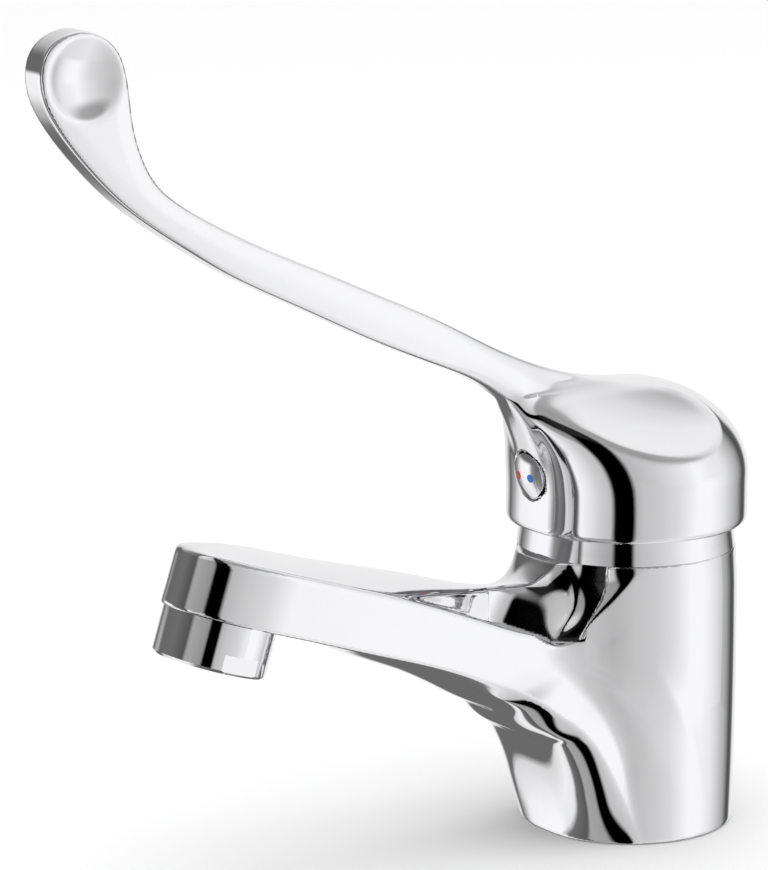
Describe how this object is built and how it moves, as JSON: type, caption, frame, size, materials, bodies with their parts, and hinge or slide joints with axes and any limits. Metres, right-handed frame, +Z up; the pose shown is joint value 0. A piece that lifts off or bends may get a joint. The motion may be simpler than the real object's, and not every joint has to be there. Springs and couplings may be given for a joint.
{
  "type": "basin mixer tap",
  "caption": "Single-lever basin mixer tap: chrome column and rising spout with an aerator, domed cap and a long upright blade lever with a dished round end.",
  "frame": {"origin": "middle of the base face, where the tap stands on the basin's deck", "axes": "+Z up through the column, the spout and the lever point towards -Y, +X is the tap's own left and the blue mark's side"},
  "size_m": [0.0572, 0.1862, 0.1987],
  "materials": {
    "blue": "blue enamel",
    "brass": "machined brass",
    "cart_plastic": "moulded acetal",
    "ceramic": "lapped ceramic",
    "chrome": "bright polished chrome plate",
    "grey_plastic": "moulded plastic",
    "red": "red enamel",
    "seal_rubber": "soft seal rubber",
    "steel": "stainless steel"
  },
  "bodies": {
    "casting": {"body": "chrome", "cover_ring": "chrome", "ring_nut": "brass", "grip_ring": "seal_rubber", "base_seal": "seal_rubber", "aerator_housing": "chrome", "aerator_core": "grey_plastic", "aerator_diffuser": "cart_plastic", "aerator_washer": "seal_rubber", "cartridge_base": "cart_plastic", "inlet_seals": "seal_rubber", "cartridge_housing": "cart_plastic", "housing_seal": "seal_rubber", "limit_ring": "red", "fixed_disc": "ceramic"},
    "turret": {"turret": "grey_plastic", "pivot_pin": "steel"},
    "carriage": {"disc_carrier": "cart_plastic", "moving_disc": "ceramic"},
    "lever": {"stem": "brass", "handle": "chrome", "set_screw": "steel", "index_cap": "chrome", "blue_mark": "blue", "red_mark": "red"}
  },
  "joints": [
    {"name": "temperature_turn", "type": "hinge", "parent": "casting", "child": "turret", "pos_m": [0, 0, 0.066], "axis": [0, 0, 1], "range_deg": [-45, 45]},
    {"name": "flow_lift", "type": "hinge", "parent": "turret", "child": "lever", "pos_m": [0, 0, 0.066], "axis": [-1, 0, 0], "range_deg": [0, 25]},
    {"name": "disc_slide", "type": "slide", "parent": "turret", "child": "carriage", "axis": [0, -1, 0], "range_m": [0, 0.0057]}
  ],
  "couplings": [
    {"joint": "disc_slide", "follows": "flow_lift", "m_per_rad": 0.0128}
  ]
}
